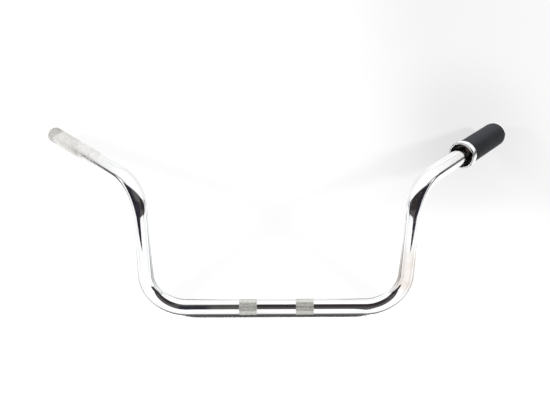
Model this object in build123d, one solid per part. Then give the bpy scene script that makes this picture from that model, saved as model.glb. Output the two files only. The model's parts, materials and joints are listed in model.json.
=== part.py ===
from build123d import *
import os

# A chromed motorcycle handlebar with one twist grip, lying on its centre bar as it lies on a bench.
# Millimetres. The origin is the middle of the centre bar, on its axis. +X runs along the bar towards
# the arm that carries the grip, +Y towards the ends of the arms, +Z up from the bench.

# Tube
TUBE_R = 12.7
TUBE_WALL = 2.4
TUBE_END_ROUND = 0.5
LEG_SPACING = 401.0
RISE = 208.0
ARM_OUT = 167.5
ARM_UP = 21.0
ARM_BACK = 171.5
LIE_ANGLE = 39.0
LOWER_BEND_R = 60.0
UPPER_BEND_R = 50.0

# Knurled zones that the riser clamps hold
CLAMP_SPACING = 88.9
KNURL_LENGTH = 28.6
KNURL_PROUD = 0.15

# Twist grip, measured along the arm from the end of the tube, outwards positive
RUN_CLEARANCE = 0.05
SIDE_CLEARANCE = 0.35
END_GAP = 0.5
GRIP_MOUTH = -106.5
COLLAR_LENGTH = 11.5
RUBBER_END = 8.0
SLEEVE_END = 7.0
SLEEVE_R = 14.6
SKIRT_IN_R = 19.0
SKIRT_OUT_R = 20.0
SKIRT_SETBACK = 1.2
CUP_DEPTH = 9.5
RUBBER_R = 20.0
RUBBER_EDGE_ROUND = 1.2
COLLAR_R = 21.1
LIP_R = 21.5
LIP_IN_R = 18.8
LIP_LENGTH = 3.0
LIP_ROUND = 1.1
COLLAR_EDGE_ROUND = 0.5

# Fixed end of the grip: bush, thrust washer, cap, and the expander that holds them in the tube
BUSH_LENGTH = 7.5
BUSH_R = TUBE_R + RUN_CLEARANCE - SIDE_CLEARANCE
THRUST_WASHER_R = SLEEVE_R - SIDE_CLEARANCE
CAP_R = 20.4
CAP_RIM = 3.2
CAP_DOME = 2.2
CAP_ROUND = 1.2
RECESS_R = 6.4
RECESS_FLOOR = 9.8
SCREW_R = 3.0
SCREW_HOLE_R = 3.3
SCREW_HEAD_R = 5.25
SCREW_HEAD_FLAT_R = 3.15
SCREW_HEAD_H = 3.3
SCREW_HEAD_RIM = 1.1
SCREW_TIP = -38.0
SOCKET_ACROSS_FLATS = 4.0
SOCKET_DEPTH = 2.0
LOCK_WASHER_R = 5.9
LOCK_WASHER_H = 1.2
EXPANDER_LENGTH = 26.0
CONE_LENGTH = 8.0
CONE_SMALL_R = 5.6
CONE_LARGE_R = 9.2
NUT_BODY_LENGTH = 6.0


def bar_corners():
    """The corners of the tube's centreline, from the left end to the right end."""
    up = Vector(0, 1, 0).rotate(Axis.X, LIE_ANGLE)
    back = Vector(0, 0, -1).rotate(Axis.X, LIE_ANGLE)
    lower = Vector(LEG_SPACING / 2, 0, 0)
    upper = lower + up * RISE
    end = upper + Vector(ARM_OUT, 0, 0) + up * ARM_UP + back * ARM_BACK
    right = [lower, upper, end]
    left = [Vector(-p.X, p.Y, p.Z) for p in reversed(right)]
    return left + right


def bar_path():
    bends = [UPPER_BEND_R, LOWER_BEND_R, LOWER_BEND_R, UPPER_BEND_R]
    return FilletPolyline(*bar_corners(), radius=bends)


def rod_along(path, radius):
    """A solid round rod that follows the path."""
    start = Plane(origin=path @ 0, z_dir=path % 0)
    return sweep(start * Circle(radius), path=path)


def lathe(*profile):
    """A turned piece about local Z from the corners (radius, height) of its half section."""
    face = make_face(Plane.XZ * Polyline(*profile, close=True))
    return revolve(face, Axis.Z)


def rounded_rims(piece, radius, *rims):
    """Rounds the circular edges that lie at the given (radius, height) pairs."""
    chosen = []
    for edge in piece.edges().filter_by(GeomType.CIRCLE):
        here = (edge.radius, edge.arc_center.Z)
        for rim in rims:
            if abs(here[0] - rim[0]) < 0.01 and abs(here[1] - rim[1]) < 0.01:
                chosen.append(edge)
    return fillet(chosen, radius)


def handlebar_tube():
    path = bar_path()
    bar = rod_along(path, TUBE_R)
    end_x = LEG_SPACING / 2 + ARM_OUT
    ends = [e for e in bar.edges().filter_by(GeomType.CIRCLE) if abs(abs(e.arc_center.X) - end_x) < 0.01]
    bar = fillet(ends, TUBE_END_ROUND)
    knurl = Rot(0, 90, 0) * Cylinder(TUBE_R + KNURL_PROUD, KNURL_LENGTH)
    for side in (-1, 1):
        bar += Pos(side * CLAMP_SPACING / 2, 0, 0) * knurl
    return bar - rod_along(path, TUBE_R - TUBE_WALL)


def throttle_sleeve():
    """Black plastic sleeve that turns on the tube, with a cup round the tube at its inner end."""
    bore = TUBE_R + RUN_CLEARANCE
    cup_floor = GRIP_MOUTH + CUP_DEPTH
    cup_back = GRIP_MOUTH + COLLAR_LENGTH
    skirt_start = GRIP_MOUTH + SKIRT_SETBACK
    return lathe(
        (bore, cup_floor),
        (SKIRT_IN_R, cup_floor),
        (SKIRT_IN_R, skirt_start),
        (SKIRT_OUT_R, skirt_start),
        (SKIRT_OUT_R, cup_back),
        (SLEEVE_R, cup_back),
        (SLEEVE_R, SLEEVE_END),
        (bore, SLEEVE_END),
    )


def grip_rubber():
    start = GRIP_MOUTH + COLLAR_LENGTH
    rubber = lathe(
        (SLEEVE_R, start),
        (RUBBER_R, start),
        (RUBBER_R, RUBBER_END),
        (SLEEVE_R, RUBBER_END),
    )
    return rounded_rims(rubber, RUBBER_EDGE_ROUND, (RUBBER_R, RUBBER_END))


def grip_collar():
    """Chromed ring pressed over the cup, with a rounded lip at its open mouth."""
    back = GRIP_MOUTH + COLLAR_LENGTH
    lip_back = GRIP_MOUTH + LIP_LENGTH
    inner_step = GRIP_MOUTH + SKIRT_SETBACK
    ring = lathe(
        (LIP_IN_R, GRIP_MOUTH),
        (LIP_R, GRIP_MOUTH),
        (LIP_R, lip_back),
        (COLLAR_R, lip_back),
        (COLLAR_R, back),
        (SKIRT_OUT_R, back),
        (SKIRT_OUT_R, inner_step),
        (LIP_IN_R, inner_step),
    )
    ring = rounded_rims(ring, LIP_ROUND, (LIP_R, GRIP_MOUTH))
    return rounded_rims(ring, COLLAR_EDGE_ROUND, (COLLAR_R, back))


def spacer_bush():
    """Bush on the tube's end face that keeps the cap clear of the turning sleeve."""
    return lathe((SCREW_HOLE_R, 0), (BUSH_R, 0), (BUSH_R, BUSH_LENGTH), (SCREW_HOLE_R, BUSH_LENGTH))


def thrust_washer():
    top = RUBBER_END + END_GAP
    return lathe(
        (SCREW_HOLE_R, BUSH_LENGTH),
        (THRUST_WASHER_R, BUSH_LENGTH),
        (THRUST_WASHER_R, top),
        (SCREW_HOLE_R, top),
    )


def end_cap():
    """Low domed cap with a recess for the screw head."""
    base = RUBBER_END + END_GAP
    rim = base + CAP_RIM
    crown = rim + CAP_DOME
    cap = lathe(
        (SCREW_HOLE_R, base),
        (CAP_R, base),
        (CAP_R, rim),
        (RECESS_R, crown),
        (RECESS_R, RECESS_FLOOR),
        (SCREW_HOLE_R, RECESS_FLOOR),
    )
    return rounded_rims(cap, CAP_ROUND, (CAP_R, rim))


def lock_washer():
    top = RECESS_FLOOR + LOCK_WASHER_H
    return lathe(
        (SCREW_HOLE_R, RECESS_FLOOR),
        (LOCK_WASHER_R, RECESS_FLOOR),
        (LOCK_WASHER_R, top),
        (SCREW_HOLE_R, top),
    )


def cap_screw():
    """Button-head screw with a hexagon socket."""
    under_head = RECESS_FLOOR + LOCK_WASHER_H
    top = under_head + SCREW_HEAD_H
    screw = lathe(
        (0, SCREW_TIP),
        (SCREW_R, SCREW_TIP),
        (SCREW_R, under_head),
        (SCREW_HEAD_R, under_head),
        (SCREW_HEAD_R, under_head + SCREW_HEAD_RIM),
        (SCREW_HEAD_FLAT_R, top),
        (0, top),
    )
    hexagon = RegularPolygon(SOCKET_ACROSS_FLATS / 2, 6, major_radius=False)
    socket = extrude(Pos(0, 0, top - SOCKET_DEPTH) * hexagon, SOCKET_DEPTH)
    return screw - socket


def expander_sleeve():
    """Rubber sleeve in the tube's bore, with a tapered mouth that the wedge nut is drawn into."""
    bore = TUBE_R - TUBE_WALL
    cone_start = CONE_LENGTH - EXPANDER_LENGTH
    return lathe(
        (SCREW_HOLE_R, 0),
        (bore, 0),
        (bore, -EXPANDER_LENGTH),
        (CONE_LARGE_R, -EXPANDER_LENGTH),
        (CONE_SMALL_R, cone_start),
        (SCREW_HOLE_R, cone_start),
    )


def wedge_nut():
    """Cone nut at the screw's inner end."""
    back = -EXPANDER_LENGTH - NUT_BODY_LENGTH
    cone_start = CONE_LENGTH - EXPANDER_LENGTH
    return lathe(
        (SCREW_R, cone_start),
        (CONE_SMALL_R, cone_start),
        (CONE_LARGE_R, -EXPANDER_LENGTH),
        (CONE_LARGE_R, back),
        (SCREW_R, back),
    )


def on_right_arm(piece):
    """Places a turned piece on the right arm: local Z runs out along the arm from the tube's end."""
    corners = bar_corners()
    end = corners[-1]
    return Plane(origin=end, z_dir=end - corners[-2]) * piece


os.makedirs("parts", exist_ok=True)

export_step(handlebar_tube(), "parts/handlebar_tube.step")

turned_pieces = (
    throttle_sleeve,
    grip_rubber,
    grip_collar,
    spacer_bush,
    thrust_washer,
    end_cap,
    lock_washer,
    cap_screw,
    expander_sleeve,
    wedge_nut,
)
for make in turned_pieces:
    export_step(on_right_arm(make()), f"parts/{make.__name__}.step")
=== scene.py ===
import json
import math

import bmesh
import bpy
from mathutils import Matrix, Vector


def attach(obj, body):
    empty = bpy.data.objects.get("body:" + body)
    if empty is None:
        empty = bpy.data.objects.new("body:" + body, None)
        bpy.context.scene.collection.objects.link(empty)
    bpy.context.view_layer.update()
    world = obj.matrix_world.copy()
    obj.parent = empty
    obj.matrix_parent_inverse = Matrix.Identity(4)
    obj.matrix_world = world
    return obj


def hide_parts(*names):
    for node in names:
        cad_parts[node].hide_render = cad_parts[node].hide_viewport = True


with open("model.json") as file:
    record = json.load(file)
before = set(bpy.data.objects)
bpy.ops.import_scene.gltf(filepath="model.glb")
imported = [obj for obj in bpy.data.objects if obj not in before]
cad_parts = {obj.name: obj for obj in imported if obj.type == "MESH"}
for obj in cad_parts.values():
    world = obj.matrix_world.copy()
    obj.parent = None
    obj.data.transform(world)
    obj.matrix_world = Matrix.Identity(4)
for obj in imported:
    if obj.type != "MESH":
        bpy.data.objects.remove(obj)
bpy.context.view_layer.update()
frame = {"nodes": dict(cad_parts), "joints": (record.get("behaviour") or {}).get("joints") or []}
nodes = frame["nodes"]

MM = 0.001
UP = Vector((0, 0, 1))

# The arm that carries the grip: the twist joint lies on it, 50 mm in from the end of the tube.
JOINT_SETBACK_MM = 50
joint = frame["joints"][0]
ARM = -Vector(joint["axis"]).normalized()
ARM_END = Vector(joint["pos_m"]) + ARM * JOINT_SETBACK_MM * MM
ARM_SIDE = ARM.cross(UP).normalized()
ARM_TOP = ARM_SIDE.cross(ARM).normalized()

# The bare arm mirrors it.
MIRROR = Vector((-1, 1, 1))
LEFT_ARM = ARM * MIRROR
LEFT_END = ARM_END * MIRROR

# The tube: its corners, bends and section, as in the CAD.
TUBE_R = 12.7 * MM
BORE_R = 10.3 * MM
END_ROUND = 0.5 * MM
BORE_CHAMFER_MM = 0.4
LEG_X = 200.5 * MM
ARM_LENGTH = 240.644 * MM
LOWER_BEND_R = 60 * MM
UPPER_BEND_R = 50 * MM
BENCH_Z = -12.86 * MM

# Knurled zones that the risers clamp.
KNURL_X = 44.45 * MM
KNURL_HALF = 14.3 * MM
KNURL_PEAK = 12.85 * MM
KNURL_VALLEY = 12.60 * MM
KNURL_ROWS = 20
KNURL_RUN_OUT = 0.0004
KNURL_MARGIN = 0.0012

# Steps of the meshes: counts, metres and degrees.
ROUND_STEPS = 84
RIM_STEPS = 4
STRAIGHT_STEP = 0.012
BEND_STEP = 2.2
MIN_BEND_STEPS = 6
TURNED_STEPS = 144
DOME_STEPS = 8

# Edges sharper than this stay sharp, in degrees.
TUBE_SHARP = 35
TURNED_SHARP = 28

# Turned pieces of the grip: radii and heights in millimetres, heights measured along the arm from
# the end of the tube, outwards positive.
GRIP_MOUTH = -106.5
SLEEVE_BORE_R = 12.75
SLEEVE_R = 14.6
SLEEVE_END = 7.0
CUP_R = 19.0
CUP_DEPTH = 9.5
SKIRT_R = 20.0
COLLAR_R = 21.1
RUBBER_R = 20.0
RUBBER_END = 8.0
CAP_R = 20.4
CAP_BASE = 8.5
CAP_HOLE_R = 3.3
RECESS_R = 6.4
RECESS_FLOOR = 9.8
DOME_FOOT_R = 19.2
DOME_TOP_R = 7.0
DOME_FOOT = 11.7
DOME_RISE = 2.2

# Where the two dark spots on the collar's lip and the painted highlight on its cup's floor lie,
# from the arm's axis.
LIP_SPOT_R = 21.2
LIP_SPOT_DEPTH = 1.6
HUB_HIGHLIGHT_R = 11


# ---------------------------------------------------------------- mesh helpers

def make_mesh(name, verts, faces, smooth_angle=None, flat=()):
    """A mesh object from lists. Faces whose index is in flat stay flat shaded."""
    mesh = bpy.data.meshes.new(name)
    mesh.from_pydata([tuple(v) for v in verts], [], faces)
    mesh.validate()
    bm = bmesh.new()
    bm.from_mesh(mesh)
    bmesh.ops.recalc_face_normals(bm, faces=bm.faces)
    bm.to_mesh(mesh)
    bm.free()
    mesh.shade_smooth()
    if smooth_angle is not None:
        mesh.set_sharp_from_angle(angle=math.radians(smooth_angle))
    for index in flat:
        mesh.polygons[index].use_smooth = False
    obj = bpy.data.objects.new(name, mesh)
    bpy.context.scene.collection.objects.link(obj)
    return obj


def sheet_mesh(name, corners):
    """A single four-sided face."""
    return make_mesh(name, corners, [(0, 1, 2, 3)])


def arc(centre, radius, start, stop, steps):
    """Points of an arc in the (radius, height) half plane, angles in degrees."""
    points = []
    for k in range(steps + 1):
        angle = math.radians(start + (stop - start) * k / steps)
        points.append((centre[0] + radius * math.cos(angle), centre[1] + radius * math.sin(angle)))
    return points


def from_mouth(*points):
    """Profile points whose heights are given from the grip's mouth."""
    return [(radius, GRIP_MOUTH + height) for radius, height in points]


def lathe(name, profile):
    """A closed piece turned about the arm, from its half section (radius, height) in mm."""
    verts = []
    for k in range(TURNED_STEPS):
        angle = 2 * math.pi * k / TURNED_STEPS
        outwards = ARM_SIDE * math.cos(angle) + ARM_TOP * math.sin(angle)
        for radius, height in profile:
            verts.append(ARM_END + ARM * height * MM + outwards * radius * MM)
    count = len(profile)
    faces = []
    for k in range(TURNED_STEPS):
        here = k * count
        there = (k + 1) % TURNED_STEPS * count
        for j in range(count):
            after = (j + 1) % count
            faces.append((here + j, here + after, there + after, there + j))
    return make_mesh(name, verts, faces, TURNED_SHARP)


# ---------------------------------------------------------------- the bent tube

def bar_corners():
    """The corners of the tube's centreline, from the bare end to the grip's end."""
    upper = ARM_END - ARM * ARM_LENGTH
    lower = Vector((LEG_X, 0, 0))
    right = [lower, upper, ARM_END]
    return [p * MIRROR for p in reversed(right)] + right


def bar_stations():
    """(point, direction, row) down the centreline; row is a number in a knurled zone, else None."""
    corners = bar_corners()
    radii = [UPPER_BEND_R, LOWER_BEND_R, LOWER_BEND_R, UPPER_BEND_R]
    stations = []
    last = corners[0]
    for corner, radius, before, after in zip(corners[1:-1], radii, corners, corners[2:]):
        into = (corner - before).normalized()
        out = (after - corner).normalized()
        turn = into.angle(out)
        cut = radius * math.tan(turn / 2)
        start = corner - into * cut
        stations += straight(last, start, into)
        normal = (out - into * out.dot(into)).normalized()
        centre = start + normal * radius
        steps = max(MIN_BEND_STEPS, int(math.degrees(turn) / BEND_STEP))
        for k in range(steps + 1):
            angle = turn * k / steps
            point = centre - normal * radius * math.cos(angle) + into * radius * math.sin(angle)
            heading = into * math.cos(angle) + normal * math.sin(angle)
            stations.append((point, heading, None))
        last = corner + out * cut
    stations += straight(last, corners[-1], (corners[-1] - last).normalized())
    return stations


def straight(start, stop, heading):
    """Stations strictly between two points; the centre bar also gets its knurled rows."""
    runs_along_x = abs(heading.x) > 0.999
    if runs_along_x:
        return centre_rows(start.x, stop.x, heading)
    length = (stop - start).length
    steps = max(2, int(length / STRAIGHT_STEP))
    return [(start + heading * length * k / steps, heading, None) for k in range(1, steps)]


def centre_rows(low, high, heading):
    """Stations along the centre bar: the rows of both knurled zones and plain ones between them."""
    middles = (-KNURL_X, KNURL_X)
    places = []
    for middle in middles:
        for row in range(KNURL_ROWS + 1):
            places.append((middle - KNURL_HALF + 2 * KNURL_HALF * row / KNURL_ROWS, row))
        for sign in (-1, 1):
            places.append((middle + sign * (KNURL_HALF + KNURL_RUN_OUT), None))
    x = low + STRAIGHT_STEP
    while x < high - STRAIGHT_STEP / 2:
        if all(abs(x - middle) > KNURL_HALF + KNURL_MARGIN for middle in middles):
            places.append((x, None))
        x += STRAIGHT_STEP
    places.sort(key=lambda place: place[0])
    return [(Vector((x, 0, 0)), heading, row) for x, row in places]


def outer_radii(row):
    """The tube's radii round one ring; a knurled zone has pyramids in a diamond pattern."""
    if row in (None, 0, KNURL_ROWS):
        return [TUBE_R] * ROUND_STEPS
    return [KNURL_PEAK if (row + step) % 2 == 0 else KNURL_VALLEY for step in range(ROUND_STEPS)]


def ring_points(point, direction, side, radii):
    """A ring round a point, square to the direction, that starts at the given side."""
    up = direction.cross(side).normalized()
    points = []
    for step, radius in enumerate(radii):
        angle = 2 * math.pi * step / len(radii)
        points.append(point + (side * math.cos(angle) + up * math.sin(angle)) * radius)
    return points


def rings_along(stations, heading, radii_for):
    """(ring, row) at each station, carried round the bends without twisting, and the last side."""
    side = UP.cross(heading).normalized()
    rings = []
    for point, direction, row in stations:
        swing = heading.rotation_difference(direction)
        side = (swing @ side).normalized()
        heading = direction
        rings.append((ring_points(point, direction, side, radii_for(row)), row))
    return rings, side


def end_rings(point, back, direction, side):
    """The rounded rim of an open end, from the end face to the full radius; back points inwards."""
    rings = []
    for k in range(RIM_STEPS + 1):
        angle = math.pi / 2 * k / RIM_STEPS
        depth = END_ROUND * (1 - math.sin(angle))
        radius = TUBE_R - END_ROUND * (1 - math.cos(angle))
        ring = ring_points(point + back * depth, direction, side, [radius] * ROUND_STEPS)
        rings.append((ring, None))
    return rings


def bar_mesh():
    """The tube's mesh object and the indices of the faces inside its bore."""
    stations = bar_stations()
    first_heading = -LEFT_ARM
    first_side = UP.cross(first_heading).normalized()
    outside, last_side = rings_along(stations, first_heading, outer_radii)
    rings = end_rings(LEFT_END, first_heading, first_heading, first_side)[::-1]
    rings += outside
    rings += end_rings(ARM_END, -ARM, ARM, last_side)
    outer = len(rings)
    # The bore runs back inside, with a chamfer at its bare mouth.
    plain_ones = [station for station in stations if station[2] is None]
    inside = [(LEFT_END, first_heading, None)] + plain_ones + [(ARM_END, ARM, None)]
    bore, _ = rings_along(inside, first_heading, lambda row: [BORE_R] * ROUND_STEPS)
    chamfer_foot = LEFT_END + first_heading * BORE_CHAMFER_MM * MM
    mouth_r = BORE_R + BORE_CHAMFER_MM * MM
    bore[0] = (ring_points(chamfer_foot, first_heading, first_side, [BORE_R] * ROUND_STEPS), None)
    mouth = ring_points(LEFT_END, first_heading, first_side, [mouth_r] * ROUND_STEPS)
    rings += bore[::-1] + [(mouth, None)]

    verts = [point for ring, _ in rings for point in ring]
    faces = []
    knurled_faces = []
    bore_faces = []
    for r, (_, row) in enumerate(rings):
        following = (r + 1) % len(rings)
        next_row = rings[following][1]
        knurled = row is not None and next_row == row + 1
        a = r * ROUND_STEPS
        b = following * ROUND_STEPS
        for s in range(ROUND_STEPS):
            t = (s + 1) % ROUND_STEPS
            if knurled:
                knurled_faces += [len(faces), len(faces) + 1]
                if (row + s) % 2 == 0:
                    faces += [(a + s, a + t, b + s), (a + t, b + t, b + s)]
                else:
                    faces += [(a + s, a + t, b + t), (a + s, b + t, b + s)]
            else:
                if r >= outer - 1:
                    bore_faces.append(len(faces))
                faces.append((a + s, a + t, b + t, b + s))
    obj = make_mesh("bar_tube", verts, faces, TUBE_SHARP, flat=knurled_faces)
    return obj, bore_faces


# ---------------------------------------------------------------- material helpers

class Nodes:
    """Short calls for building a node tree."""

    def __init__(self, tree):
        self.tree = tree
        self.tree.nodes.clear()

    def add(self, kind, **settings):
        made = self.tree.nodes.new("ShaderNode" + kind)
        for key, value in settings.items():
            setattr(made, key, value)
        return made

    def link(self, source, target):
        self.tree.links.new(source, target)

    def put(self, target, value):
        """Links a socket, or sets a number or colour."""
        if isinstance(value, bpy.types.NodeSocket):
            self.link(value, target)
        elif isinstance(value, tuple) and len(value) == 3:
            target.default_value = (*value, 1.0)
        else:
            target.default_value = value

    def math(self, operation, a, b=0.0, clamp=False):
        made = self.add("Math", operation=operation, use_clamp=clamp)
        self.put(made.inputs[0], a)
        self.put(made.inputs[1], b)
        return made.outputs[0]

    def product(self, first, *others):
        for other in others:
            first = self.math("MULTIPLY", first, other)
        return first

    def total(self, first, *others):
        for other in others:
            first = self.math("ADD", first, other)
        return first

    def less(self, value, *takings, clamp=False):
        """The value less each of the others in turn; clamp holds the last result to 0 to 1."""
        for count, taking in enumerate(takings, 1):
            value = self.math("SUBTRACT", value, taking, clamp=clamp and count == len(takings))
        return value

    def span(self, value, low, high, to_low=0.0, to_high=1.0):
        """Maps low..high smoothly to to_low..to_high, clamped."""
        made = self.add("MapRange", interpolation_type="SMOOTHSTEP")
        self.put(made.inputs["Value"], value)
        made.inputs["From Min"].default_value = low
        made.inputs["From Max"].default_value = high
        made.inputs["To Min"].default_value = to_low
        made.inputs["To Max"].default_value = to_high
        return made.outputs["Result"]

    def fade(self, value, low, high):
        """1 up to low, 0 from high on."""
        return self.span(value, low, high, 1.0, 0.0)

    def band(self, value, rise, fall):
        """1 between two places, each given as the range over which it comes or goes."""
        return self.product(self.span(value, *rise), self.fade(value, *fall))

    def mix(self, factor, a, b):
        made = self.add("Mix", data_type="RGBA")
        self.put(made.inputs["Factor"], factor)
        self.put(made.inputs[6], a)
        self.put(made.inputs[7], b)
        return made.outputs[2]

    def blend(self, factor, a, b):
        """Mixes two shaders."""
        made = self.add("MixShader")
        for socket, value in zip(made.inputs, (factor, a, b)):
            self.link(value, socket)
        return made.outputs[0]

    def separate(self, vector):
        made = self.add("SeparateXYZ")
        self.link(vector, made.inputs[0])
        return made.outputs["X"], made.outputs["Y"], made.outputs["Z"]

    def rays(self):
        """Light path sockets, and whether a ray comes before any diffuse bounce."""
        path = self.add("LightPath").outputs
        return path, self.math("LESS_THAN", path["Diffuse Depth"], 0.5)

    def glow(self, colour):
        made = self.add("Emission")
        self.put(made.inputs["Color"], colour)
        made.inputs["Strength"].default_value = 1.0
        return made.outputs[0]


class Shader(Nodes):
    """A material, drawn in the coordinates of its object."""

    def __init__(self, name):
        self.mat = bpy.data.materials.new(name)
        self.mat.use_nodes = True
        self.mat.cycles.emission_sampling = "NONE"
        super().__init__(self.mat.node_tree)
        self.out = self.add("OutputMaterial")
        self.bsdf = self.add("BsdfPrincipled")
        self.link(self.bsdf.outputs["BSDF"], self.out.inputs["Surface"])
        self.coords = self.add("TexCoord").outputs["Object"]

    def stretch(self, scale, turn):
        made = self.add("Mapping")
        self.link(self.coords, made.inputs["Vector"])
        made.inputs["Scale"].default_value = scale
        made.inputs["Rotation"].default_value = turn
        return made.outputs[0]

    def noise(self, scale, detail=3.0, rough=0.55, vector=None):
        made = self.add("TexNoise")
        self.link(vector or self.coords, made.inputs["Vector"])
        made.inputs["Scale"].default_value = scale
        made.inputs["Detail"].default_value = detail
        made.inputs["Roughness"].default_value = rough
        return made.outputs["Fac"]

    def dots(self, scale, core, edge):
        """Scattered round dots, 1 within core of a cell's middle and 0 beyond edge."""
        made = self.add("TexVoronoi", feature="F1")
        self.link(self.coords, made.inputs["Vector"])
        made.inputs["Scale"].default_value = scale
        return self.fade(made.outputs["Distance"], core, edge)

    def axis(self, direction, origin):
        """How far a point lies along a direction from an origin, in metres."""
        made = self.add("VectorMath", operation="DOT_PRODUCT")
        self.link(self.coords, made.inputs[0])
        made.inputs[1].default_value = direction
        return self.math("SUBTRACT", made.outputs["Value"], direction.dot(origin))

    def distance(self, place):
        made = self.add("VectorMath", operation="DISTANCE")
        self.link(self.coords, made.inputs[0])
        made.inputs[1].default_value = place
        return made.outputs["Value"]

    def scratches(self, seed, fine, long, limit):
        """Thin random scratches in one direction, 0 to 1."""
        turn = (seed, seed * 1.7, seed * 0.6)
        field = self.noise(1.0, detail=2.0, vector=self.stretch((long, fine, fine * 0.7), turn))
        return self.span(field, limit, limit + 0.05)

    def stains(self, base, *layers):
        """Lays (mask, share, colour) layers over a base colour in turn."""
        for mask, share, colour in layers:
            base = self.mix(self.product(mask, share), base, colour)
        return base

    def bump(self, height, distance):
        made = self.add("Bump")
        self.link(height, made.inputs["Height"])
        made.inputs["Distance"].default_value = distance
        made.inputs["Strength"].default_value = 1.0
        self.link(made.outputs[0], self.bsdf.inputs["Normal"])

    def set(self, **values):
        for key, value in values.items():
            self.put(self.bsdf.inputs[key.replace("_", " ")], value)

    def show(self, shader):
        """Shows another shader in place of the Principled one."""
        self.link(shader, self.out.inputs["Surface"])
        self.tree.nodes.remove(self.bsdf)


# ---------------------------------------------------------------- materials

def chrome_bar():
    """Worn chrome plate, with an old grip's seat at the bare end and dull knurled zones."""
    s = Shader("bar_chrome")
    x, y, z = s.separate(s.coords)
    across = s.math("ABSOLUTE", x)
    on_arms = s.span(across, 0.235, 0.29)
    cloud = s.noise(38.0, 4.0)
    haze = s.noise(190.0, 5.0, 0.65)
    blotch = s.noise(70.0, 3.0, 0.5)
    lines = s.math("MAXIMUM", s.scratches(0.4, 900.0, 26.0, 0.66),
                   s.scratches(2.1, 760.0, 34.0, 0.67))
    pits = s.product(s.dots(150.0, 0.0, 0.075), s.span(s.noise(21.0), 0.52, 0.6))

    # Old grip seat at the bare end: dull for the first 25 mm, then hazed, scuffed and spotted.
    along = s.axis(-LEFT_ARM, LEFT_END)
    ragged = s.total(along, s.span(s.noise(60.0, 3.0), 0.25, 0.75, -0.009, 0.009))
    seat = s.fade(ragged, 0.017, 0.030)
    hazed = s.fade(ragged, 0.035, 0.105)
    scuffed = s.fade(ragged, 0.06, 0.23)
    residue = s.product(s.span(s.noise(45.0, 3.0, 0.5), 0.45, 0.7), scuffed)
    specks = s.product(s.dots(130.0, 0.07, 0.16), s.fade(ragged, 0.03, 0.07))
    rim = s.fade(along, 0.0006, 0.0022)

    # Brown tarnish at the foot of the leg below the grip, and painted shade on the tube inside the
    # grip's cup, standing in for the cup's dark inside mirrored in it.
    foot = s.distance((LEG_X, 0.055, 0.045))
    tarnish = s.product(s.fade(foot, 0.02, 0.055), s.span(cloud, 0.3, 0.65, 0.4, 1.0))
    inner = s.axis(ARM, ARM_END + ARM * GRIP_MOUTH * MM)
    cup_shade = s.band(inner, (0.0025, 0.0045), (0.020, 0.024))

    # Knurled zones: plating worn to a dull grey with grime low in the pattern.
    blur = 0.0008
    start, stop = KNURL_X - KNURL_HALF, KNURL_X + KNURL_HALF
    zone = s.band(across, (start - blur, start + blur), (stop - blur, stop + blur))
    radius = s.math("SQRT", s.total(s.math("POWER", y, 2.0), s.math("POWER", z, 2.0)))
    low = s.fade(radius, KNURL_VALLEY, KNURL_PEAK - 0.00008)
    grime = s.span(s.noise(230.0, 4.0, 0.65), 0.3, 0.7)
    tops = s.mix(grime, (0.62, 0.62, 0.59), (0.78, 0.78, 0.75))
    dull = s.mix(s.product(low, 0.75), tops, (0.16, 0.155, 0.13))

    clean = s.mix(s.span(cloud, 0.3, 0.7), (0.60, 0.605, 0.61), (0.65, 0.655, 0.66))
    warmer = s.mix(s.span(haze, 0.35, 0.65), (0.53, 0.52, 0.515), (0.60, 0.595, 0.59))
    seat_colour = s.mix(s.span(blotch, 0.35, 0.68), (0.38, 0.37, 0.35), (0.48, 0.47, 0.45))
    base = s.stains(
        clean,
        (on_arms, 1.0, warmer),
        (hazed, 1.0, (0.54, 0.535, 0.515)),
        (residue, 1.0, (0.46, 0.45, 0.43)),
        (seat, 1.0, seat_colour),
        (tarnish, 1.0, (0.50, 0.455, 0.42)),
        (specks, 0.6, (0.10, 0.065, 0.045)),
        (rim, 0.5, (0.16, 0.145, 0.13)),
        (pits, 0.75, (0.22, 0.19, 0.17)),
        (cup_shade, 0.9, (0.115, 0.09, 0.083)),
        (zone, 1.0, dull),
    )
    rough = s.total(
        s.span(cloud, 0.3, 0.75, 0.035, 0.075),
        s.product(s.span(haze, 0.45, 0.8), 0.045),
        s.product(lines, 0.16),
        s.product(scuffed, s.span(blotch, 0.3, 0.7, 0.24, 0.36)),
        s.product(on_arms, s.span(blotch, 0.4, 0.7, 0.02, 0.14)),
        s.product(seat, 0.22),
        s.product(zone, 0.16),
    )
    rough = s.math("ADD", rough, s.product(pits, 0.3), clamp=True)
    metal = s.less(1.0, s.product(hazed, 0.45), s.product(zone, 0.1), clamp=True)
    s.set(Base_Color=base, Metallic=metal, Roughness=rough)
    s.bump(s.less(s.product(scuffed, 0.5, blotch), lines, s.product(pits, 2.0)), 0.00001)
    return s.mat


def bore_steel():
    """Bare steel with rust, inside the tube."""
    s = Shader("bore_steel")
    rust = s.span(s.noise(130.0, 5.0, 0.7), 0.42, 0.66)
    s.set(Base_Color=s.mix(rust, (0.20, 0.18, 0.165), (0.13, 0.065, 0.035)),
          Metallic=s.span(rust, 0.0, 1.0, 0.7, 0.1),
          Roughness=s.span(rust, 0.0, 1.0, 0.42, 0.85))
    s.bump(rust, 0.00008)
    return s.mat


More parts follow.
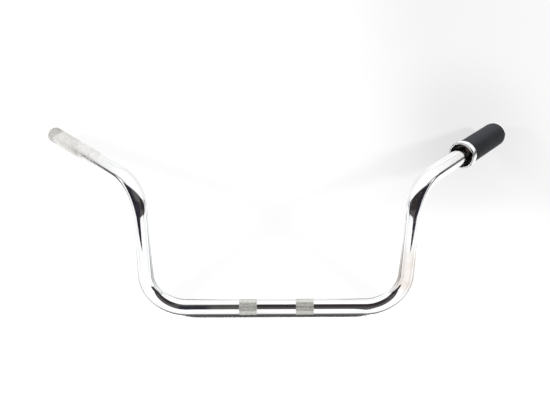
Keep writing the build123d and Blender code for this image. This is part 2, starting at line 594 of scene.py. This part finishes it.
def chrome_trim():
    """Chrome of the collar and the cap, with two small dark spots on opposite sides of the lip."""
    s = Shader("trim_chrome")
    lines = s.math("MAXIMUM", s.scratches(1.1, 1100.0, 40.0, 0.68),
                   s.scratches(2.7, 1300.0, 50.0, 0.69))
    rough = s.total(s.span(s.noise(70.0, 4.0), 0.3, 0.75, 0.08, 0.13), s.product(lines, 0.15))
    base = s.mix(s.span(s.noise(420.0, 4.0), 0.6, 0.75), (0.64, 0.645, 0.65), (0.52, 0.515, 0.50))
    for sign in (-1, 1):
        lip_spot = ARM_END + (ARM * (GRIP_MOUTH + LIP_SPOT_DEPTH) + ARM_SIDE * sign * LIP_SPOT_R) * MM
        spot = s.span(s.distance(lip_spot), 0.0012, 0.0023, 0.9, 0.0)
        base = s.mix(spot, base, (0.05, 0.045, 0.045))
    s.set(Base_Color=base, Metallic=1.0, Roughness=rough)
    s.bump(lines, 0.000006)
    return s.mat


def rubber():
    """Matt black rubber, lighter along one side with painted light, and rubbed at the outer end."""
    s = Shader("grip_rubber")
    grain = s.noise(2600.0, 3.0, 0.6)
    coarse = s.noise(420.0, 4.0, 0.6)
    patches = s.product(s.span(s.noise(55.0, 5.0, 0.65), 0.5, 0.72), s.span(grain, 0.45, 0.62))
    outer_end = s.span(s.axis(ARM, ARM_END), -0.012, 0.008)
    rubbed = s.product(outer_end, s.span(coarse, 0.45, 0.7, 0.0, 0.5))
    dust = s.total(s.product(patches, 0.5), rubbed)
    # Painted light: the rubber is lighter along one side, as if lit from there.
    painted_lit_side = s.fade(s.axis(ARM_SIDE, ARM_END), -0.011, 0.006)
    base = s.mix(painted_lit_side, (0.0050, 0.0060, 0.0072), (0.032, 0.033, 0.038))
    base = s.mix(s.product(dust, 0.5), base, (0.030, 0.030, 0.032))
    rough = s.span(coarse, 0.3, 0.7, 0.60, 0.74)
    s.set(Base_Color=base, Roughness=rough, Specular_IOR_Level=0.12)
    s.bump(s.total(grain, s.product(coarse, 1.6)), 0.00005)
    return s.mat


def plastic(name, colour, marks, rough, scale=900.0, painted_hub_highlight=False):
    """Moulded plastic or rubber with fine grain and patches in a second colour."""
    s = Shader(name)
    grain = s.noise(scale, 4.0, 0.6)
    patch = s.noise(scale * 0.12, 4.0)
    base = s.mix(s.span(patch, 0.4, 0.72), colour, marks)
    if painted_hub_highlight:
        # Painted highlight on the cup's floor, on the upper side of the tube, standing in for the
        # chrome tube seen deeper in the cup.
        hub_highlight = ARM_END + ARM * (GRIP_MOUTH + CUP_DEPTH) * MM + ARM_TOP * HUB_HIGHLIGHT_R * MM
        base = s.mix(s.fade(s.distance(hub_highlight), 0.003, 0.0075), base, (0.50, 0.43, 0.40))
    roughness = s.span(patch, 0.3, 0.7, rough - 0.07, rough + 0.1)
    s.set(Base_Color=base, Roughness=roughness, Specular_IOR_Level=0.12)
    s.bump(grain, 0.00002)
    return s.mat


def machined(name, colour, stain, rough):
    """Turned metal: fine tool rings along the arm and light stains."""
    s = Shader(name)
    wave = s.add("TexNoise", noise_dimensions="1D")
    s.link(s.axis(ARM, ARM_END), wave.inputs["W"])
    wave.inputs["Scale"].default_value = 5200.0
    turned = wave.outputs["Fac"]
    stained = s.span(s.noise(240.0, 5.0, 0.65), 0.48, 0.74)
    roughness = s.total(s.span(turned, 0.3, 0.7, rough, rough + 0.12), s.product(stained, 0.15))
    s.set(Base_Color=s.mix(stained, colour, stain), Metallic=1.0, Roughness=roughness)
    s.bump(turned, 0.00001)
    return s.mat


# ---------------------------------------------------------------- the pieces

def dress(obj, body, slot_name, *materials, stands_for):
    """Gives a piece its materials and the body it rides on, and hides the CAD node it replaces;
    slot_name is not used.
    """
    for material in materials:
        obj.data.materials.append(material)
    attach(obj, body)
    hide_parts(stands_for)


bar, bore_faces = bar_mesh()
dress(bar, "bar", "bar_chrome", chrome_bar(), bore_steel(), stands_for="handlebar_tube")
for index in bore_faces:
    bar.data.polygons[index].material_index = 1

trim = chrome_trim()
black_plastic = plastic("sleeve_plastic", (0.085, 0.070, 0.068), (0.13, 0.105, 0.10), 0.42,
                        painted_hub_highlight=True)

# Chromed ring: rolled lip at the mouth, a fine groove behind it, straight barrel.
collar_profile = (
    from_mouth((18.8, 1.2), (18.8, 0.7), (19.0, 0.3))
    + arc((20.15, GRIP_MOUTH + 1.35), 1.35, 250, 10, 18)
    + from_mouth((21.42, 2.3), (21.0, 2.75), (20.86, 3.05), (21.06, 3.3))
    + from_mouth((COLLAR_R, 3.6), (COLLAR_R, 7.2), (COLLAR_R, 10.9))
    + arc((20.6, GRIP_MOUTH + 11.0), 0.5, 0, 90, 5)
    + from_mouth((20.03, 11.5), (20.03, 1.2))
)
dress(lathe("grip_collar_ring", collar_profile), "twist_grip", "trim_chrome", trim,
      stands_for="grip_collar")

# Black sleeve with its cup.
sleeve_profile = from_mouth(
    (SLEEVE_BORE_R, CUP_DEPTH), (13.2, 9.1), (13.9, 9.1), (14.4, CUP_DEPTH),
    (17.9, CUP_DEPTH), (18.5, 9.3), (18.9, 8.7), (CUP_R, 8.0),
    (CUP_R, 1.25), (SKIRT_R, 1.25), (SKIRT_R, 11.45), (14.58, 11.45),
) + [(14.58, SLEEVE_END), (SLEEVE_BORE_R, SLEEVE_END)]
dress(lathe("throttle_sleeve_moulding", sleeve_profile), "twist_grip", "sleeve_plastic",
      black_plastic, stands_for="throttle_sleeve")

# Smooth rubber with a soft shoulder at each end.
rubber_profile = (
    from_mouth((SLEEVE_R, 11.55))
    + arc((19.5, GRIP_MOUTH + 12.05), 0.5, 270, 360, 4)
    + [(RUBBER_R, GRIP_MOUTH + 20 + 12 * k) for k in range(8)]
    + arc((18.6, 6.6), 1.4, 0, 90, 7)
    + [(SLEEVE_R, RUBBER_END)]
)
dress(lathe("grip_rubber_sleeve", rubber_profile), "twist_grip", "grip_rubber", rubber(),
      stands_for="grip_rubber")

# Domed chrome cap with a dished recess.
dome = []
for k in range(1, DOME_STEPS + 1):
    share = k / DOME_STEPS
    dome.append((DOME_FOOT_R - (DOME_FOOT_R - DOME_TOP_R) * share,
                 DOME_FOOT + DOME_RISE * math.sin(share * math.pi / 2)))
cap_profile = (
    [(CAP_HOLE_R, CAP_BASE), (19.9, CAP_BASE), (20.25, 8.62), (CAP_R, 8.95), (CAP_R, 10.6)]
    + arc((19.3, 10.6), 1.1, 15, 78, 6)
    + dome
    + [(6.62, 13.82), (6.42, 13.55), (RECESS_R, 13.2)]
    + [(RECESS_R, RECESS_FLOOR), (CAP_HOLE_R, RECESS_FLOOR)]
)
dress(lathe("end_cap_dome", cap_profile), "bar", "trim_chrome", trim, stands_for="end_cap")

# Inner pieces keep their CAD shape.
zinc = machined("zinc_steel", (0.60, 0.61, 0.62), (0.42, 0.40, 0.35), 0.24)
finishes = {
    "spacer_bush": machined("bush_aluminium", (0.74, 0.75, 0.76), (0.55, 0.55, 0.53), 0.28),
    "thrust_washer": plastic("washer_nylon", (0.74, 0.71, 0.63), (0.60, 0.56, 0.47), 0.5),
    "lock_washer": zinc,
    "cap_screw": zinc,
    "wedge_nut": zinc,
    "expander_sleeve": plastic("expander_rubber", (0.03, 0.03, 0.03), (0.06, 0.058, 0.055), 0.72,
                               1400.0),
}
for name, material in finishes.items():
    for slot in nodes[name].material_slots:
        slot.material = material


# ---------------------------------------------------------------- the floor

def pale_floor():
    """White floor. What it shows differs for the camera, for mirrors and for soft light."""
    s = Shader("pale_floor")
    fibre = s.noise(900.0, 3.0)
    path, first = s.rays()
    seen = path["Is Camera Ray"]
    mirrored = s.product(path["Is Glossy Ray"], first)
    x, y, _ = s.separate(s.coords)
    across = s.math("ABSOLUTE", x)
    length = s.add("VectorMath", operation="LENGTH")
    s.link(s.coords, length.inputs[0])
    away = length.outputs["Value"]

    # Painted reflection, seen only in mirrors: a dark band at both sides of the floor, standing in
    # for the edge of a table mirrored in the arms.
    mirrored_dark_edge = s.product(s.span(across, 0.47, 0.78), s.band(y, (-0.17, -0.07), (0.55, 0.75)))
    # Painted shadow, seen only in mirrors: the bar's underside mirrors a wide, soft shadow painted
    # in front of it.
    in_front = s.product(s.band(y, (-0.085, -0.014), (-0.006, 0.0)),
                         s.span(across, 0.16, 0.24, 0.88, 0.0))
    # Painted light, seen only in mirrors: the floor glows, most far off and beside the bar, and
    # less over the dark edges and the shadow in front of the bar.
    beside = s.product(s.span(s.math("ABSOLUTE", y), 0.018, 0.08),
                       s.span(y, 0.16, 0.26, 0.65, 0.25))
    glow = s.math("MAXIMUM", s.span(away, 0.55, 1.1), beside)
    off_edge = s.less(1.0, s.product(mirrored_dark_edge, 0.82))
    glow = s.product(glow, off_edge, s.less(1.0, in_front), mirrored)

    # To the camera the floor glows with a set tone, a little brighter further off, and takes a
    # shadow only beside the bar that rests on it; behind the grip it is a touch greyer with painted
    # shade.
    resting = s.product(s.band(y, (-0.05, -0.03), (-0.004, 0.008)), s.fade(across, 0.22, 0.28))
    behind_grip = s.distance((0.34, 0.31, BENCH_Z))
    corner = s.product(s.span(x, 0.05, 0.30), s.span(y, 0.10, 0.20))
    painted_grip_shade = s.product(s.span(behind_grip, 0.02, 0.18, 0.22, 0.13), corner,
                       s.fade(behind_grip, 0.45, 0.9))
    tone = s.less(s.span(away, 0.6, 1.2, 0.93, 1.02), painted_grip_shade)
    glow = s.total(glow, s.product(s.less(1.0, resting), tone, seen))

    grey = s.mix(in_front, (0.93, 0.93, 0.93), (0.03, 0.03, 0.03))
    bounce = s.mix(first, (0.20, 0.20, 0.20), s.mix(mirrored_dark_edge, grey, (0.01, 0.01, 0.01)))
    under_camera = s.mix(resting, (0.10, 0.10, 0.10), (1.6, 1.6, 1.6))
    s.set(Base_Color=s.mix(seen, bounce, under_camera),
          Roughness=s.span(fibre, 0.3, 0.7, 0.55, 0.65), Specular_IOR_Level=0.0,
          Emission_Color=(1.0, 1.0, 1.0), Emission_Strength=glow)
    s.bump(fibre, 0.00002)
    return s.mat


FLOOR_REACH = 6
floor = sheet_mesh("floor", [(FLOOR_REACH * x, FLOOR_REACH * y, BENCH_Z)
                             for x, y in ((-1, -1), (1, -1), (1, 1), (-1, 1))])
floor.data.materials.append(pale_floor())


# ---------------------------------------------------------------- dark things in the reflections

def glossy_only(obj):
    """Leaves an object visible in mirrors only."""
    obj.visible_camera = False
    obj.visible_diffuse = False
    obj.visible_shadow = False
    obj.visible_transmission = False
    obj.visible_volume_scatter = False


def ceiling_tones(s, x, y):
    """What the bar mirrors overhead: dark, with a lighter strip that changes side along it."""
    north = s.span(y, 0.05, 0.085)
    south = s.fade(y, -0.08, -0.02)
    left = s.mix(north, (0.048, 0.047, 0.064), (0.17, 0.17, 0.165))
    middle = s.mix(s.math("MAXIMUM", north, south), (0.115, 0.11, 0.105), (0.175, 0.168, 0.162))
    right = s.mix(south, (0.055, 0.048, 0.047), (0.145, 0.135, 0.13))
    tones = s.mix(s.span(x, -0.14, -0.118), left, middle)
    tones = s.mix(s.span(x, -0.075, -0.045), tones, right)
    beyond = s.span(s.math("ABSOLUTE", x), 0.22, 0.30)
    cloud = s.span(s.noise(7.0, 4.0, 0.6), 0.4, 0.7)
    clouds = s.mix(cloud, (0.028, 0.025, 0.034), (0.085, 0.07, 0.10))
    return s.mix(beyond, tones, clouds)


CARD_X = (-0.80, 1.42)
CARD_Y = (-0.43, 0.188)
CARD_Z = 0.287
CARD_SIDE_FADE = 0.10
CARD_FRONT_FADE = 0.035
CARD_BACK_FADE = 0.03


def ceiling_card(name):
    """A dark overhead card that only shows in reflections, fading out towards its edges."""
    (west, east), (south, north) = CARD_X, CARD_Y
    card = sheet_mesh(name, [(west, south, CARD_Z), (east, south, CARD_Z),
                             (east, north, CARD_Z), (west, north, CARD_Z)])
    s = Shader(name)
    x, y, _ = s.separate(s.coords)
    sides = s.band(x, (west, west + CARD_SIDE_FADE), (east - CARD_SIDE_FADE, east))
    # Over the straight bar the card is narrower than over the bends.
    front = s.less(y, s.span(s.math("ABSOLUTE", x), 0.17, 0.24, 0.185, 0.0))
    cover = s.product(sides, s.span(front, south, south + CARD_FRONT_FADE),
                      s.fade(y, north - CARD_BACK_FADE, north))
    clear = s.add("BsdfTransparent").outputs[0]
    s.show(s.blend(cover, clear, s.glow(ceiling_tones(s, x, y))))
    card.data.materials.append(s.mat)
    glossy_only(card)


STAND_X = 0.85
STAND_Y = 0.24
STAND_HALF_WIDTH = 0.022
STAND_TOP = 0.75


def light_stand(name, x):
    """A dark upright that only shows in reflections."""
    near, far = STAND_Y - STAND_HALF_WIDTH, STAND_Y + STAND_HALF_WIDTH
    stand = sheet_mesh(name, [(x, near, BENCH_Z), (x, far, BENCH_Z),
                              (x, far, STAND_TOP), (x, near, STAND_TOP)])
    s = Shader(name)
    s.show(s.glow((0.06, 0.055, 0.055)))
    stand.data.materials.append(s.mat)
    glossy_only(stand)


ceiling_card("ceiling_card")
light_stand("stand_left", -STAND_X)
light_stand("stand_right", STAND_X)


# ---------------------------------------------------------------- room, lights and camera

def studio_room():
    """Dim for soft light, bright in mirrors and plain white to the camera."""
    world = bpy.data.worlds.new("studio")
    bpy.context.scene.world = world
    world.use_nodes = True
    world.cycles.sampling_method = "NONE"
    w = Nodes(world.node_tree)

    def background(strength):
        made = w.add("Background")
        w.put(made.inputs["Color"], (1.0, 1.0, 1.0))
        w.put(made.inputs["Strength"], strength)
        return made.outputs[0]

    # Light that reaches the floor by way of the chrome counts as room light, so contact shadows
    # stay dark.
    path, first = w.rays()
    mirrored = w.product(path["Is Glossy Ray"], first)
    _, _, height = w.separate(w.add("TexCoord").outputs["Generated"])
    walls = background(w.span(height, 0.10, 0.34, 1.5, 1.75))
    unseen = w.blend(mirrored, background(0.06), walls)
    result = w.add("OutputWorld")
    w.link(w.blend(path["Is Camera Ray"], unseen, background(1.0)), result.inputs["Surface"])


LIGHT_AT = Vector((1.35, 0.17, 0.85))
LIGHT_TARGET = Vector((0.0, 0.17, 0.0))
LIGHT_SIZE = (0.16, 0.26)
LIGHT_POWER = 27


def soft_light(name, place):
    """A soft light that neither the camera nor the chrome sees."""
    data = bpy.data.lights.new(name, "AREA")
    data.shape = "RECTANGLE"
    data.size, data.size_y = LIGHT_SIZE
    data.energy = LIGHT_POWER
    light = bpy.data.objects.new(name, data)
    bpy.context.scene.collection.objects.link(light)
    light.location = place
    light.rotation_euler = (LIGHT_TARGET - place).to_track_quat("-Z", "Y").to_euler()
    light.visible_glossy = False
    light.visible_camera = False


studio_room()
soft_light("side_left", LIGHT_AT * MIRROR)
soft_light("side_right", LIGHT_AT)

CAMERA_AT = Vector((-0.02464, -0.09313, 0.95732))
LOOK_AT = Vector((-0.00056, 0.16791, -0.0127))
ROLL = 0.0888
FOCAL_LENGTH = 39.27
SENSOR_WIDTH = 36.0
forward = (LOOK_AT - CAMERA_AT).normalized()
level = forward.cross(UP).normalized()
above = level.cross(forward)
right = level * math.cos(ROLL) + above * math.sin(ROLL)
top = above * math.cos(ROLL) - level * math.sin(ROLL)
lens = bpy.data.cameras.new("camera")
lens.sensor_width = SENSOR_WIDTH
lens.lens = FOCAL_LENGTH
lens.clip_start = 0.01
camera = bpy.data.objects.new("camera", lens)
bpy.context.scene.collection.objects.link(camera)
facing = Matrix((right, top, -forward)).transposed().to_4x4()
camera.matrix_world = Matrix.Translation(CAMERA_AT) @ facing
bpy.context.scene.camera = camera
bpy.context.scene.view_settings.view_transform = "Standard"
